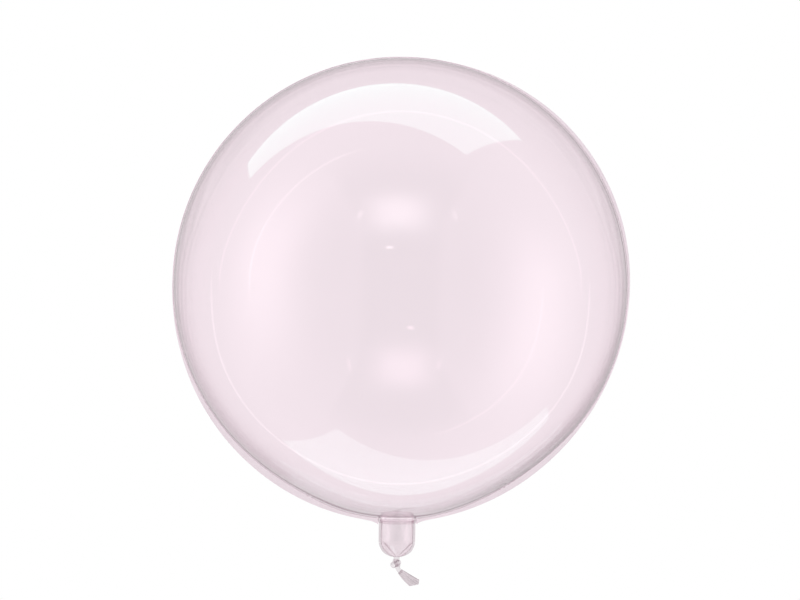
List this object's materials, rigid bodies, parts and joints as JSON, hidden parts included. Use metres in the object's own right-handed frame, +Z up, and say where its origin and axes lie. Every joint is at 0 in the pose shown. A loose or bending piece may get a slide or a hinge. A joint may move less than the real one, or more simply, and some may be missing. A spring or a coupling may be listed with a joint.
{
  "type": "film balloon",
  "caption": "Clear round balloon of welded film, blown up, with a flat welded rim, a short neck, and a knot with a pleated tail.",
  "frame": {"origin": "the tie waist: the middle of the twisted film between the neck's rounded bottom and the knot", "axes": "+Z up the neck into the ball, +X along the flat welds to the side that the tail points to, -Y is the front"},
  "size_m": [0.4148, 0.3998, 0.4726],
  "materials": {
    "film": "clear glossy film, faint pink",
    "flat_film": "clear glossy film, two plies flat together",
    "weld": "glossy, fused film",
    "gathered_film": "glossy, gathered and folded film"
  },
  "bodies": {
    "ball": {"ball_front_film": "film", "ball_back_film": "film", "shoulder_front_film": "film", "shoulder_back_film": "film", "ball_weld": "weld", "margin_front_film": "flat_film", "margin_back_film": "flat_film"},
    "neck": {"neck_front_film": "film", "neck_back_film": "film", "neck_weld_left": "weld", "neck_weld_right": "weld", "gather_front_film": "gathered_film", "gather_back_film": "gathered_film"},
    "waist": {"throat": "gathered_film"},
    "knot": {"knot_core": "gathered_film", "knot_wrap": "gathered_film"},
    "tail": {"tail_root": "gathered_film", "tail_front_film": "gathered_film", "tail_back_film": "gathered_film"}
  },
  "joints": [
    {"name": "neck_bend", "type": "hinge", "parent": "ball", "child": "neck", "pos_m": [0, 0, 0.031], "axis": [1, 0, 0], "range_deg": [-15, 15], "stiffness_Nm_per_rad": 0.002},
    {"name": "knot_rock", "type": "hinge", "parent": "neck", "child": "waist", "pos_m": [0, 0, 0], "axis": [1, 0, 0], "range_deg": [-40, 40], "stiffness_Nm_per_rad": 0.00005},
    {"name": "knot_swing", "type": "hinge", "parent": "waist", "child": "knot", "pos_m": [0, 0, 0], "axis": [0, 1, 0], "range_deg": [-40, 40], "stiffness_Nm_per_rad": 0.00005},
    {"name": "tail_flop", "type": "hinge", "parent": "knot", "child": "tail", "pos_m": [0.0012, 0, -0.011], "axis": [0, 1, 0], "range_deg": [-25, 90], "stiffness_Nm_per_rad": 0.00005}
  ]
}
